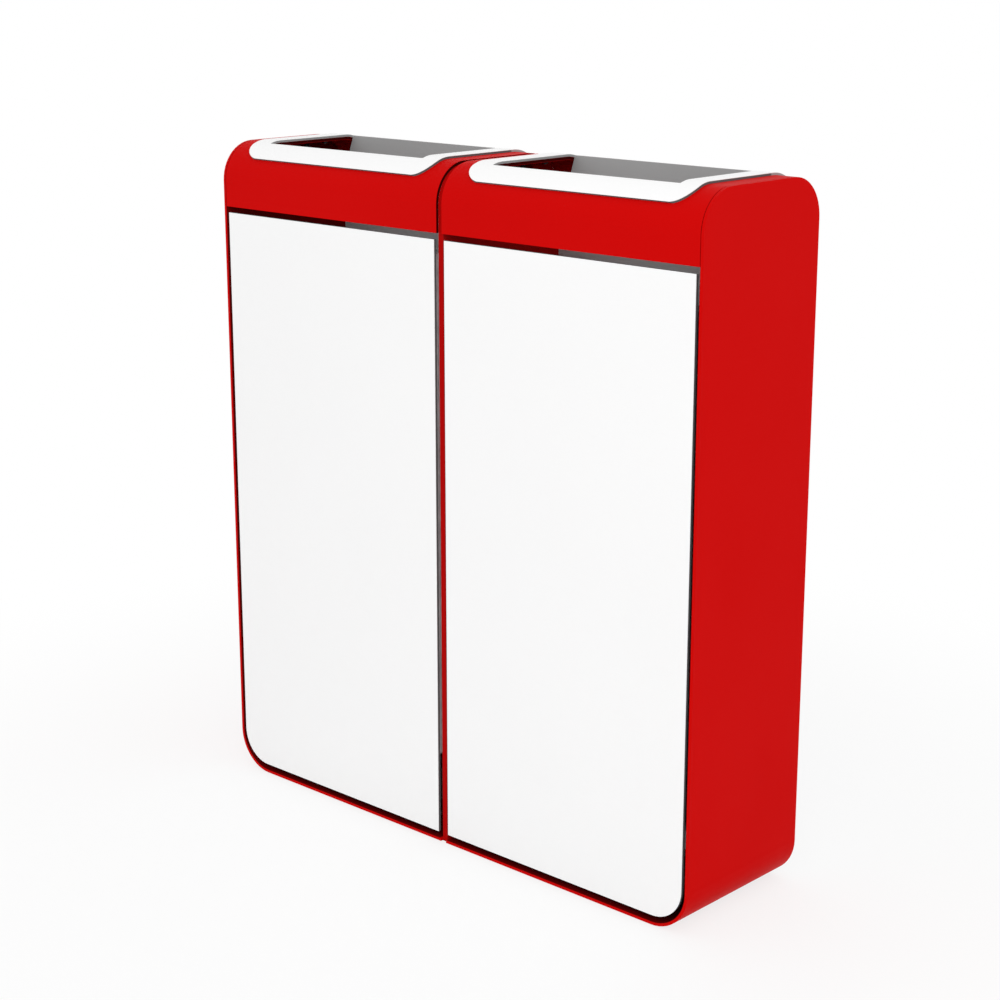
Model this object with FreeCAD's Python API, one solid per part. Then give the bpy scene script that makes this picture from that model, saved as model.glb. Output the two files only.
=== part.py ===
import FreeCAD, Part
import math
import os

# Double recycling bin: a slim sheet-metal cabinet with two bays. Each bay has a wrapped hood with a
# deposit opening, a flush door and a lift-out liner.
# Frame: +Z up, X across the front, front face towards -Y, origin on the floor under the middle.
# The right bay (X > 0) is modelled, and the left bay is its mirror image.

os.makedirs("parts", exist_ok=True)

V = FreeCAD.Vector
X_AXIS = V(1, 0, 0)
Y_AXIS = V(0, 1, 0)
Z_AXIS = V(0, 0, 1)

# Casing, mm
width = 802.0                # over the two end panels
depth = 217.5                # door face to the rear edges
casing_height = 880.0        # underside of the floor to the flat of the hoods
sheet = 4.0                  # end panels, floors, hoods and doors
partition_thick = 8.0
corner_radius = 50.0         # front and rear bends of the hoods, outside
foot_radius = 54.0           # bend from end panel to floor, outside
partition_inset = 3.5        # the partition's edge stands this far inside the hoods' outline
hood_gap = 0.6               # hood to partition
end_seam = 0.6               # hood to end panel
hood_front_z = 796.0         # lower edges of the hood, above the casing's underside
hood_rear_z = 800.0
floor_gap = 0.5              # floor to partition
floor_end_radius = 3.5       # eased end of each floor beside the partition

# Glides under the floors
glide_head = 1.0
glide_radius = 11.0
glide_stem_radius = 4.0
glide_stem = 3.8
glide_x = (30.0, 330.0)
glide_edge = 28.0            # from the front and rear edges

# Doors
door_gap_hinge, door_gap_end = 4.5, 5.0      # to the partition and to the end panel
door_gap_low, door_gap_top = 8.5, 8.0
door_corner_radius = 44.0

# Continuous hinge beside the partition
hinge_back = 6.5             # axis behind the door face
hinge_side = 8.0             # axis beside the partition's face
knuckle_radius = 2.2
hinge_pin_radius = 1.25
hinge_pin_head, hinge_pin_head_height = 2.0, 1.0
hinge_play = 0.05
hinge_low, hinge_high = 119.0, 770.0
knuckle_count = 21
knuckle_gap = 0.3
leaf = 1.2
leaf_start, leaf_width = 3.0, 25.0
hinge_web_y = 11.5           # fixed leaf's cross web behind the door face
hinge_wall_start = 3.1       # fixed leaf's wall behind the axis, clear of the door's knuckles
hinge_screw_count = 6

# Push-to-open latch on the end panel
latch_width, latch_length, latch_height = 23.5, 55.0, 30.0
latch_front = 9.0            # body behind the door face
latch_z = 115.0
latch_flange, latch_flange_rise = 2.5, 12.0
plunger_inboard = 13.5       # plunger axis from the end panel
plunger_radius = 4.0
plunger_length = 32.5
plunger_bore = 2.9
plunger_nose = 12.5          # solid front of the plunger
plunger_play = 0.3
latch_travel = 3.0
latch_bore_spare = 1.0       # bore past the spring
magnet_radius, magnet_thick = 3.2, 2.0
spring_outer, spring_inner = 2.6, 2.0
strike_size, strike_thick = 14.0, 1.2
bumper_radius, bumper_stem, bumper_stem_length = 3.5, 1.8, 3.0
bumper_offset = (5.0, -11.0)     # from the plunger axis in X and Z
bumper_clearance = 0.4

# Collar round each opening, laid over the hood. Lengths along the hood start at the front end of
# its flat: negative ones lie on the front bend.
collar_thick = 3.0
collar_width = 340.0
collar_band = 28.4           # between the opening and the collar's side edges
collar_reach = 46.0          # down the front and rear bends
collar_corner = 28.0
corner_ease = 0.1            # so that the corner's arc meets the straight edges at a slight angle
open_front = 17.0            # opening's front edge, down the front bend
open_rear = 14.0             # opening's rear edge, down the rear bend
open_corner = 1.5
open_clearance = 1.0         # hood's cut edge behind the collar's
lip_length = 32.0            # rear lip, bent down into the hood
lip_lean = 20.0              # degrees off plumb
stud_radius, stud_length, stud_play = 1.95, 8.5, 0.25
nut_flats, nut_thick, nut_bore = 7.0, 3.2, 2.0
nut_seat = 0.2               # below the hood, where a flat nut bridges the bend

# Brackets and panels
angle_leg, angle_thick, angle_length = 20.0, 2.0, 108.0
floor_angle_length = 160.0
back_thick = 1.5
back_recess = 1.0            # keeps the rivet heads inside the depth
back_drop = 0.8              # top edge below the hood's rear edge
back_play = 0.3
back_leg = 15.0
back_angle_low, back_angle_high = 66.0, 740.0
strip_thick = 2.0
strip_x = (30.0, 370.0)
strip_up, strip_down = 22.0, 22.0
joggle_drop, joggle_offset = 3.0, 0.5

# Fasteners: shank radius, head radius, head height, length below the head
m5 = (2.45, 4.5, 2.5, 4.6)
m35 = (1.7, 3.2, 1.5, 3.6)
back_screw = (1.7, 4.0, 1.0, 13.5)
rivet_radius, rivet_head, rivet_button, rivet_button_thick = 1.95, 4.0, 3.2, 1.2
strike_rivet_radius, strike_rivet_length = 1.5, 3.7
hole_play, hole_spare = 0.05, 0.2

# Fastener places. "in" is from the panel beside, "up" and "drop" are from the floor or the hood.
bracket_y, bracket_drop, bracket_in = (-35.0, 35.0), 15.0, 12.5
floor_angle_y, floor_angle_up = (-50.0, 50.0), 13.0
strip_screw_x, strip_screw_up = (80.0, 200.0, 320.0), 11.0
back_angle_screw_z, back_angle_screw_in = (130.0, 405.0, 680.0), 9.0
latch_screw_rise, strike_rivet_rise = 21.0, 5.0
guide_screw_out = 9.0
hinge_screw_y = 26.0         # behind the door face
door_screw_x = 20.0          # from the hinge axis
partition_screw_z = (100.0, 300.0, 500.0, 700.0)
rivet_x, rivet_drop = (60.0, 130.0, 200.0, 270.0, 340.0), 12.0
rivet_z, rivet_in = (85.0, 250.0, 410.0, 560.0, 725.0), 8.5
side_stud, side_stud_in = 156.0, 25.0      # from the bay's middle, and from the flat's ends
bend_stud, bend_stud_front, bend_stud_rear = 80.0, 31.5, 30.0

# Working lengths: tools run past what they cut, and fused blocks run into each other
past, bite = 1.0, 0.5
cut_under, cut_over, cut_clear = 12.0, 8.0, 15.0    # through the hood's bends

# Liner and bail
liner_top, liner_bottom = (297.0, 182.0), (260.0, 156.0)    # outer sizes in X and Y
liner_y = 1.25               # liner's middle behind the middle of the casing
liner_height = 733.0
liner_wall = 2.5
liner_corner = 28.0
rim_reach, rim_thick, rim_drop = 6.5, 3.0, 12.0
lug_thick, lug_radius = 3.0, 7.0
bail_radius = 2.5
bail_rest_gap = 0.3
bail_end = 8.0               # stub through the lug
bail_corner = 27.5
guide_thick, guide_height, guide_play, guide_foot = 1.5, 15.0, 1.0, 13.0
guide_front = 40.0

# Places worked out from the sizes above
front, rear = -depth / 2, depth / 2
base = glide_head
floor_top = base + sheet
top = base + casing_height
end_in = width / 2 - sheet
part_x = partition_thick / 2
floor_start = part_x + floor_gap
bay_x = (part_x + end_in) / 2
foot_x, foot_z = width / 2 - foot_radius, base + foot_radius
flat = depth - 2 * corner_radius
bend_length = corner_radius * math.pi / 2
back_out = rear - back_recess
back_in = back_out - back_thick
back_top = base + hood_rear_z - back_drop
hood_in_x, hood_out_x = part_x + hood_gap, end_in - end_seam
hinge_x, hinge_y = part_x + hinge_side, front + hinge_back
hinge_z0, hinge_z1 = base + hinge_low, base + hinge_high
door_back = front + sheet
plunger_x, plunger_z = end_in - plunger_inboard, base + latch_z
latch_y = front + latch_front
plunger_y = door_back + strike_thick + plunger_play + magnet_thick
bore_end = plunger_y + plunger_length + latch_travel + latch_bore_spare
bumper_seat = V(plunger_x + bumper_offset[0], latch_y, plunger_z + bumper_offset[1])
opening_x0 = bay_x - collar_width / 2 + collar_band
opening_x1 = bay_x + collar_width / 2 - collar_band
liner_mid = V(bay_x, liner_y, 0)
rim_top = floor_top + liner_height
bail_z = rim_top + bail_radius + bail_rest_gap
bail_x = liner_top[0] / 2
bail_reach = (liner_top[1] - liner_wall + rim_reach) / 2


def box(x0, x1, y0, y1, z0, z1):
    return Part.makeBox(x1 - x0, y1 - y0, z1 - z0, V(x0, y0, z0))


def rod(start, direction, radius, length):
    return Part.makeCylinder(radius, length, start, direction)


def line(a, b):
    return Part.LineSegment(a, b).toShape()


def arc(a, middle, b):
    return Part.Arc(a, middle, b).toShape()


def prism(edges, direction):
    return Part.Face(Part.Wire(edges)).extrude(direction)


def polygon_prism(points, direction):
    return prism([line(a, b) for a, b in zip(points, points[1:] + points[:1])], direction)


def bend(center, radius, start, turn, u, v):
    """An arc about center, from start degrees through turn degrees in the plane of u and v."""
    angles = [math.radians(start + turn * part) for part in (0, 0.5, 1)]
    return arc(*[center + u * (radius * math.cos(a)) + v * (radius * math.sin(a)) for a in angles])


def mirrored(shape):
    return shape.mirror(V(0, 0, 0), X_AXIS)


def export(name, shape):
    shape.exportStep("parts/" + name + ".step")


def export_pair(name, shape):
    export(name + "_right", shape)
    export(name + "_left", mirrored(shape))


def export_group(name, solids):
    export(name, Part.makeCompound(solids))


def export_mirrored_groups(name, solids):
    """One node for each bay."""
    export_group(name + "_right", solids)
    export_group(name + "_left", [mirrored(solid) for solid in solids])


def export_shared_group(name, solids):
    """One node for both bays."""
    export_group(name, solids + [mirrored(solid) for solid in solids])


def fastener(point, direction, size):
    """A screw whose head sits on point and whose shank runs along direction."""
    shank_radius, head_radius, head_height, length = size
    head = rod(point - direction * head_height, direction, head_radius, head_height)
    return head.fuse(rod(point, direction, shank_radius, length))


def screws(places, size):
    return [fastener(point, direction, size) for point, direction in places]


def drilled(shape, places, size):
    for point, direction in places:
        shape = shape.cut(rod(point, direction, size[0] + hole_play, size[3] + hole_spare))
    return shape


def both_bays(places):
    return places + [(V(-p.x, p.y, p.z), V(-d.x, d.y, d.z)) for p, d in places]


def on_hood(x, along, lift):
    """A point over the hood: along its outline from the front end of the flat, lifted off it."""
    if 0 <= along <= flat:
        return V(x, front + corner_radius + along, top + lift)
    center_y = front + corner_radius if along < 0 else rear - corner_radius
    angle = min(along, 0) / corner_radius + max(along - flat, 0) / corner_radius
    radius = corner_radius + lift
    return V(x, center_y + radius * math.sin(angle), top - corner_radius + radius * math.cos(angle))


def hood_band(x0, x1, start, end, low, high):
    """A sheet that follows the hood between two lengths along it and two lifts."""
    def path(lift):
        first = [on_hood(x0, start * part, lift) for part in (1, 0.5, 0)]
        last = [on_hood(x0, flat + (end - flat) * part, lift) for part in (0, 0.5, 1)]
        return [arc(*first), line(first[2], last[0]), arc(*last)]
    near, far = [line(on_hood(x0, along, low), on_hood(x0, along, high)) for along in (start, end)]
    return prism(path(low) + [far] + path(high)[::-1] + [near], X_AXIS * (x1 - x0))


def side_outline(inset, x0, x1):
    """The casing's side view, with its two bent top corners, as a block from x0 to x1."""
    radius = corner_radius - inset
    front_center = V(x0, front + corner_radius, top - corner_radius)
    rear_center = V(x0, rear - corner_radius, top - corner_radius)
    low_front, low_rear = V(x0, front + inset, base), V(x0, rear - inset, base)
    up = Z_AXIS * radius
    out = Y_AXIS * radius
    edges = [line(low_front, front_center - out),
             bend(front_center, radius, 180, -90, Y_AXIS, Z_AXIS),
             line(front_center + up, rear_center + up),
             bend(rear_center, radius, 90, -90, Y_AXIS, Z_AXIS),
             line(rear_center + out, low_rear), line(low_rear, low_front)]
    return prism(edges, X_AXIS * (x1 - x0))


def foot_outline(radius, x0, y0, y1, z1):
    """A block whose lower outer corner is bent about the axis of the casing's foot."""
    center = V(foot_x, y0, foot_z)
    z0, x1 = foot_z - radius, foot_x + radius
    edges = [line(V(x0, y0, z0), V(foot_x, y0, z0)),
             bend(center, radius, 270, 90, X_AXIS, Z_AXIS),
             line(V(x1, y0, foot_z), V(x1, y0, z1)), line(V(x1, y0, z1), V(x0, y0, z1)),
             line(V(x0, y0, z1), V(x0, y0, z0))]
    return prism(edges, Y_AXIS * (y1 - y0))


def rounded_wire(center, size_x, size_y, radius, z):
    """A level rounded rectangle."""
    hx, hy = size_x / 2 - radius, size_y / 2 - radius
    edges = []
    for sx, sy, start in ((1, -1, 270), (1, 1, 0), (-1, 1, 90), (-1, -1, 180)):
        corner = V(center.x + sx * hx, center.y + sy * hy, z)
        edges.append(bend(corner, radius, start, 90, X_AXIS, Y_AXIS))
    ends = [(edge.firstVertex().Point, edge.lastVertex().Point) for edge in edges]
    sides = [line(ends[i][1], ends[(i + 1) % 4][0]) for i in range(4)]
    return Part.Wire([edge for pair in zip(edges, sides) for edge in pair])


def rounded_block(center, low_size, high_size, radius, z0, z1):
    low = rounded_wire(center, low_size[0], low_size[1], radius, z0)
    high = rounded_wire(center, high_size[0], high_size[1], radius, z1)
    return Part.makeLoft([low, high], True, True)


# Fastener places in the right bay: each is a point and the way the shank runs
under_hood = top - sheet - angle_thick
hood_end_screws = [(V(end_in - angle_thick, y, top - bracket_drop), X_AXIS) for y in bracket_y]
hood_part_screws = [(V(part_x + angle_thick, y, top - bracket_drop), -X_AXIS) for y in bracket_y]
hood_up_screws = [(V(x, y, under_hood), Z_AXIS) for y in bracket_y
                  for x in (part_x + bracket_in, end_in - bracket_in)]
floor_part_screws = [(V(part_x + angle_thick, y, floor_top + floor_angle_up), -X_AXIS)
                     for y in floor_angle_y]
floor_down_screws = [(V(part_x + bracket_in, y, floor_top + angle_thick), -Z_AXIS)
                     for y in floor_angle_y]
strip_screws = [(V(x, rear - sheet - strip_thick, base + hood_rear_z + strip_screw_up), Y_AXIS)
                for x in strip_screw_x]
back_angle_screws = [(V(end_in - back_thick, back_in - back_angle_screw_in, base + z), X_AXIS)
                     for z in back_angle_screw_z]
latch_screws = [(V(end_in - latch_flange, latch_y + latch_length / 2, plunger_z + rise), X_AXIS)
                for rise in (-latch_screw_rise, latch_screw_rise)]
frame_screws = (hood_end_screws + hood_part_screws + hood_up_screws + floor_part_screws
                + floor_down_screws + strip_screws + back_angle_screws + latch_screws)
guide_screw_x = liner_bottom[0] / 2 + guide_screw_out
guide_screws = [(V(bay_x + x, y, floor_top + guide_thick), -Z_AXIS)
                for x in (-guide_screw_x, guide_screw_x) for y in floor_angle_y]
hinge_screw_z = [hinge_z0 + (hinge_z1 - hinge_z0) * (index + 0.5) / hinge_screw_count
                 for index in range(hinge_screw_count)]
hinge_screws = [(V(part_x + leaf, front + hinge_screw_y, z), -X_AXIS) for z in hinge_screw_z]
door_screws = [(V(hinge_x + door_screw_x, door_back + leaf, z), -Y_AXIS) for z in hinge_screw_z]
partition_screws = [(V(0, back_out, base + z), -Y_AXIS) for z in partition_screw_z]
rivets = [V(x, back_out, back_top - rivet_drop) for x in rivet_x]
rivets += [V(end_in - rivet_in, back_out, base + z) for z in rivet_z]
strike_rivets = [V(plunger_x, door_back + strike_thick, plunger_z + rise)
                 for rise in (-strike_rivet_rise, strike_rivet_rise)]
studs = [(x, along) for x in (bay_x - side_stud, bay_x + side_stud)
         for along in (side_stud_in, flat - side_stud_in)]
studs += [(x, along) for x in (bay_x - bend_stud, bay_x + bend_stud)
          for along in (-bend_stud_front, flat + bend_stud_rear)]
glides = [(x, y) for x in glide_x for y in (front + glide_edge, rear - glide_edge)]


# Casing

def shell():
    """End panel and floor in one bent sheet."""
    body = foot_outline(foot_radius, floor_start, front, rear, top)
    body = body.cut(foot_outline(foot_radius - sheet, floor_start - past, front - past, rear + past,
                                 top + past))
    body = body.common(side_outline(0, 0, width / 2))
    ease = V(floor_start + floor_end_radius, front, floor_top - floor_end_radius)
    corner = box(floor_start, ease.x, front, rear, ease.z, floor_top)
    body = body.cut(corner.cut(rod(ease, Y_AXIS, floor_end_radius, depth)))
    for x, y in glides:
        body = body.cut(rod(V(x, y, base), Z_AXIS, glide_stem_radius, glide_stem))
    body = drilled(body, hood_end_screws + floor_down_screws + back_angle_screws + latch_screws, m5)
    return drilled(body, guide_screws, m35)


def partition():
    body = side_outline(partition_inset, -part_x, part_x)
    body = body.fuse(box(-part_x, part_x, 0, back_in, base, back_top)).removeSplitter()
    body = drilled(body, both_bays(hood_part_screws + floor_part_screws), m5)
    body = drilled(body, both_bays(hinge_screws), m35)
    return drilled(body, partition_screws, back_screw)


def back_panel():
    half = foot_outline(foot_radius - sheet - back_play, 0, back_in, back_out, back_top)
    panel = half.fuse(mirrored(half)).removeSplitter()
    for point, direction in both_bays([(point, -Y_AXIS) for point in rivets]):
        panel = panel.cut(rod(point, direction, rivet_radius, back_thick))
    return drilled(panel, partition_screws, back_screw)


def opening_cutter(clearance, rear_clearance):
    """The deposit opening, cut square to the hood."""
    start, end = -open_front - clearance, flat + open_rear + rear_clearance
    low, high, over = -cut_under, cut_over, top + cut_clear
    x0, x1 = opening_x0 - clearance, opening_x1 + clearance
    near, far = on_hood(x0, start, high), on_hood(x0, end, high)
    points = [on_hood(x0, start, low), near, V(x0, near.y, over), V(x0, far.y, over), far,
              on_hood(x0, end, low)]
    cutter = polygon_prism(points, X_AXIS * (x1 - x0))
    radial = [edge for edge in cutter.Edges if abs(edge.Length - (high - low)) < 0.01]
    return cutter.makeFillet(open_corner, radial)


def hood():
    bend_z = top - corner_radius
    body = hood_band(hood_in_x, hood_out_x, -bend_length, flat + bend_length, -sheet, 0)
    skirt = box(hood_in_x, hood_out_x, front, front + sheet, base + hood_front_z, bend_z)
    drop = box(hood_in_x, hood_out_x, rear - sheet, rear, base + hood_rear_z, bend_z)
    body = body.fuse([skirt, drop]).removeSplitter()
    body = body.cut(opening_cutter(open_clearance, 2 * open_clearance + collar_thick))
    for x, along in studs:
        outside, inside = on_hood(x, along, past), on_hood(x, along, -sheet - past)
        body = body.cut(rod(outside, inside - outside, stud_radius + stud_play, sheet + 2 * past))
    return drilled(body, hood_up_screws + strip_screws, m5)


def collar_corner_cutter(side, end):
    """What is cut off one corner of the collar, square to the bend at the corner's middle."""
    reach = collar_reach - collar_corner / 2
    along = -reach if end < 0 else flat + reach
    middle = on_hood(bay_x + side * collar_width / 2, along, 0)
    out = (on_hood(middle.x, along, 1) - middle).normalize()
    down = out.cross(X_AXIS) * end
    half = (corner_radius + collar_thick) * math.sin(collar_corner / 2 / corner_radius)
    across = X_AXIS * side
    center = middle - across * collar_corner + down * (half - collar_corner) - out * cut_under
    far = collar_corner + cut_over
    block = polygon_prism([center, center + across * far, center + (across + down) * far,
                           center + down * far], out * (cut_under + cut_over))
    return block.cut(rod(center, out, collar_corner + corner_ease, cut_under + cut_over))


def collar():
    """White collar with a bent rear lip and weld studs."""
    x0, x1 = bay_x - collar_width / 2, bay_x + collar_width / 2
    body = hood_band(x0, x1, -collar_reach, flat + collar_reach, 0, collar_thick)
    for side in (-1, 1):
        for end in (-1, 1):
            body = body.cut(collar_corner_cutter(side, end))
    body = body.cut(opening_cutter(0, 0))
    lean = math.radians(lip_lean)
    down = V(0, -math.sin(lean), -math.cos(lean)) * lip_length
    back = V(0, math.cos(lean), -math.sin(lean)) * collar_thick
    edge = on_hood(opening_x0, flat + open_rear, collar_thick)
    lip = polygon_prism([edge, edge + down, edge + down + back, edge + back],
                        X_AXIS * (opening_x1 - opening_x0))
    body = body.fuse(lip)
    for x, along in studs:
        start, end = on_hood(x, along, collar_thick / 2), on_hood(x, along, -stud_length)
        body = body.fuse(rod(start, end - start, stud_radius, stud_length + collar_thick / 2))
    return body.removeSplitter()


def collar_nut(x, along):
    """A hexagon nut on one stud, under the hood."""
    seat = on_hood(x, along, -sheet - nut_seat)
    down = (seat - on_hood(x, along, 0)).normalize()
    across = down.cross(X_AXIS)
    radius = nut_flats / math.sqrt(3)
    turn = [math.radians(60 * step) for step in range(6)]
    points = [seat + X_AXIS * (radius * math.cos(a)) + across * (radius * math.sin(a)) for a in turn]
    return polygon_prism(points, down * nut_thick).cut(rod(seat, down, nut_bore, nut_thick))


def hood_angle(face_x, inward):
    """Joins the hood's flat to the panel beside it."""
    under = top - sheet
    x_wall = sorted((face_x, face_x + inward * angle_thick))
    x_leg = sorted((face_x, face_x + inward * angle_leg))
    y0, y1 = -angle_length / 2, angle_length / 2
    wall = box(x_wall[0], x_wall[1], y0, y1, under - angle_leg, under)
    leg = box(x_leg[0], x_leg[1], y0, y1, under - angle_thick, under)
    places = hood_part_screws if inward > 0 else hood_end_screws
    body = drilled(wall.fuse(leg).removeSplitter(), places, m5)
    return drilled(body, hood_up_screws, m5)


def floor_angle():
    """Joins the partition's side to the floor."""
    x0, y0, y1 = part_x, -floor_angle_length / 2, floor_angle_length / 2
    wall = box(x0, x0 + angle_thick, y0, y1, floor_top, floor_top + angle_leg)
    leg = box(x0, x0 + angle_leg, y0, y1, floor_top, floor_top + angle_thick)
    return drilled(wall.fuse(leg).removeSplitter(), floor_part_screws + floor_down_screws, m5)


def riveted(shape):
    for point in rivets:
        shape = shape.cut(rod(point, -Y_AXIS, rivet_radius, back_thick + strip_thick + past))
    return shape


def back_angle():
    """Carries the back panel's side edge on the end panel."""
    z0, z1 = base + back_angle_low, base + back_angle_high
    wall = box(end_in - back_thick, end_in, back_in - back_leg, back_in, z0, z1)
    leg = box(end_in - back_leg, end_in, back_in - back_thick, back_in, z0, z1)
    body = drilled(wall.fuse(leg).removeSplitter(), back_angle_screws, m5)
    return riveted(body)


def rear_strip():
    """Joggled strip that joins the hood's rear edge to the back panel."""
    hood_face, z = rear - sheet, base + hood_rear_z
    points = [(hood_face - strip_thick, z + strip_up), (hood_face, z + strip_up), (hood_face, z),
              (back_in, z - joggle_drop), (back_in, z - strip_down),
              (back_in - strip_thick, z - strip_down),
              (back_in - strip_thick, z - joggle_drop - joggle_offset),
              (hood_face - strip_thick, z - joggle_offset)]
    points = [V(strip_x[0], y, z) for y, z in points]
    body = polygon_prism(points, X_AXIS * (strip_x[1] - strip_x[0]))
    return riveted(drilled(body, strip_screws, m5))


def rivet(point):
    """A set rivet through the back panel and the piece in front of it."""
    grip = back_thick + (strip_thick if point.x < strip_x[1] else back_thick)
    head = rod(point, Y_AXIS, rivet_head, back_recess)
    button = rod(point - Y_AXIS * grip, -Y_AXIS, rivet_button, rivet_button_thick)
    return rod(point, -Y_AXIS, rivet_radius, grip).fuse([head, button]).removeSplitter()


def glide(x, y):
    head = rod(V(x, y, 0), Z_AXIS, glide_radius, glide_head)
    return head.fuse(rod(V(x, y, glide_head), Z_AXIS, glide_stem_radius, glide_stem)).removeSplitter()


# Doors and their hinges

def door():
    z0, z1 = floor_top + door_gap_low, base + hood_front_z - door_gap_top
    x0, x1 = part_x + door_gap_hinge, end_in - door_gap_end
    center = V(x1 - door_corner_radius, front, z0 + door_corner_radius)
    edges = [line(V(x0, front, z0), V(center.x, front, z0)),
             bend(center, door_corner_radius, 270, 90, X_AXIS, Z_AXIS),
             line(V(x1, front, center.z), V(x1, front, z1)),
             line(V(x1, front, z1), V(x0, front, z1)), line(V(x0, front, z1), V(x0, front, z0))]
    body = drilled(prism(edges, Y_AXIS * sheet), door_screws, m35)
    for point in strike_rivets:
        body = body.cut(rod(point, -Y_AXIS, strike_rivet_radius, strike_rivet_length))
    return body


def knuckles(first):
    """Every second knuckle of the hinge, as plain rods, and the height that each one has."""
    pitch = (hinge_z1 - hinge_z0) / knuckle_count
    lows = [hinge_z0 + pitch * index + knuckle_gap / 2 for index in range(first, knuckle_count, 2)]
    height = pitch - knuckle_gap
    return [rod(V(hinge_x, hinge_y, z), Z_AXIS, knuckle_radius, height) for z in lows], lows, height


def hinge_bore():
    return rod(V(hinge_x, hinge_y, hinge_z0 - past), Z_AXIS, hinge_pin_radius + hinge_play,
               hinge_z1 - hinge_z0 + 2 * past)


def hinge_fixed_leaf():
    """Leaf on the partition, cranked round the door's edge to the axis."""
    rods, lows, height = knuckles(0)
    web_y, wall_y, half = front + hinge_web_y, hinge_y + hinge_wall_start, leaf / 2
    flange = box(part_x, part_x + leaf, web_y, web_y + leaf_width, hinge_z0, hinge_z1)
    web = box(part_x, hinge_x + half, web_y, web_y + leaf, hinge_z0, hinge_z1)
    wall = box(hinge_x - half, hinge_x + half, wall_y, web_y + leaf, hinge_z0, hinge_z1)
    tabs = [box(hinge_x - half, hinge_x + half, hinge_y + knuckle_radius - bite, wall_y + bite,
                z, z + height) for z in lows]
    body = flange.fuse([web, wall] + rods + tabs).removeSplitter()
    return drilled(body.cut(hinge_bore()), hinge_screws, m35)


def hinge_door_leaf():
    """Leaf on the back of the door."""
    rods, lows, height = knuckles(1)
    plate_x = hinge_x + leaf_start
    plate = box(plate_x, plate_x + leaf_width, door_back, door_back + leaf, hinge_z0, hinge_z1)
    tabs = [box(hinge_x, plate_x + bite, hinge_y - knuckle_radius, door_back + leaf, z, z + height)
            for z in lows]
    body = plate.fuse(rods + tabs).removeSplitter()
    return drilled(body.cut(hinge_bore()), door_screws, m35)


def hinge_pin():
    start, length = hinge_z0 - knuckle_gap, hinge_z1 - hinge_z0 + 2 * knuckle_gap
    body = rod(V(hinge_x, hinge_y, start), Z_AXIS, hinge_pin_radius, length)
    heads = [rod(V(hinge_x, hinge_y, z), Z_AXIS, hinge_pin_head, hinge_pin_head_height)
             for z in (start - hinge_pin_head_height, start + length)]
    return body.fuse(heads).removeSplitter()


# Push-to-open latch

def latch_body():
    """Housing on the end panel with a bore for the plunger."""
    z0, z1 = plunger_z - latch_height / 2, plunger_z + latch_height / 2
    body = box(end_in - latch_width, end_in, latch_y, latch_y + latch_length, z0, z1)
    flange = box(end_in - latch_flange, end_in, latch_y, latch_y + latch_length,
                 z0 - latch_flange_rise, z1 + latch_flange_rise)
    body = body.fuse(flange).removeSplitter()
    body = body.cut(rod(V(plunger_x, latch_y, plunger_z), Y_AXIS, plunger_radius + plunger_play,
                        bore_end - latch_y))
    return drilled(body.cut(rod(bumper_seat, Y_AXIS, bumper_stem, bumper_stem_length)),
                   latch_screws, m5)


def latch_plunger():
    start = V(plunger_x, plunger_y, plunger_z)
    body = rod(start, Y_AXIS, plunger_radius, plunger_length)
    return body.cut(rod(start + Y_AXIS * plunger_nose, Y_AXIS, plunger_bore, plunger_length))


def latch_magnet():
    return rod(V(plunger_x, plunger_y - magnet_thick, plunger_z), Y_AXIS, magnet_radius, magnet_thick)


def latch_spring():
    """Space of the coil spring, between the pressed plunger and the end of the bore."""
    start = V(plunger_x, plunger_y + plunger_nose + latch_travel + plunger_play, plunger_z)
    length = bore_end - start.y
    return rod(start, Y_AXIS, spring_outer, length).cut(rod(start, Y_AXIS, spring_inner, length))


def strike_plate():
    half = strike_size / 2
    body = box(plunger_x - half, plunger_x + half, door_back, door_back + strike_thick,
               plunger_z - half, plunger_z + half)
    for point in strike_rivets:
        body = body.cut(rod(point, -Y_AXIS, strike_rivet_radius, strike_thick))
    return body


def bumper():
    pad = rod(bumper_seat, -Y_AXIS, bumper_radius, bumper_seat.y - door_back - bumper_clearance)
    return pad.fuse(rod(bumper_seat, Y_AXIS, bumper_stem, bumper_stem_length)).removeSplitter()


# Liner and bail

def liner():
    """Tapered plastic liner with a turned-down rim and two lugs."""
    rim_z, wall = rim_top - rim_drop, 2 * liner_wall
    outer = rounded_block(liner_mid, liner_bottom, liner_top, liner_corner, floor_top, rim_top)
    rim_size = [size + 2 * rim_reach for size in liner_top]
    lip_size = [size - wall for size in rim_size]
    rim = rounded_block(liner_mid, rim_size, rim_size, liner_corner + rim_reach, rim_z, rim_top)
    rim = rim.cut(rounded_block(liner_mid, lip_size, lip_size, liner_corner + rim_reach - liner_wall,
                                rim_z - past, rim_top - rim_thick))
    inner = rounded_block(liner_mid, [size - wall for size in liner_bottom],
                          [size - wall for size in liner_top], liner_corner - liner_wall,
                          floor_top + liner_wall, rim_top)
    lug_x = liner_top[0] / 2 + rim_reach - lug_thick
    lugs = []
    for x in (bay_x + lug_x, bay_x - lug_x - lug_thick):
        hub = rod(V(x, liner_y, bail_z), X_AXIS, lug_radius, lug_thick)
        post = box(x, x + lug_thick, liner_y - lug_radius, liner_y + lug_radius, rim_top - bite,
                   bail_z)
        lugs.append(hub.fuse(post))
    body = outer.fuse([rim] + lugs).cut(inner).removeSplitter()
    reach = liner_top[0] / 2 + rim_reach + past
    pivot = rod(V(bay_x - reach, liner_y, bail_z), X_AXIS, bail_radius + hinge_play, 2 * reach)
    return body.cut(pivot)


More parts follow.
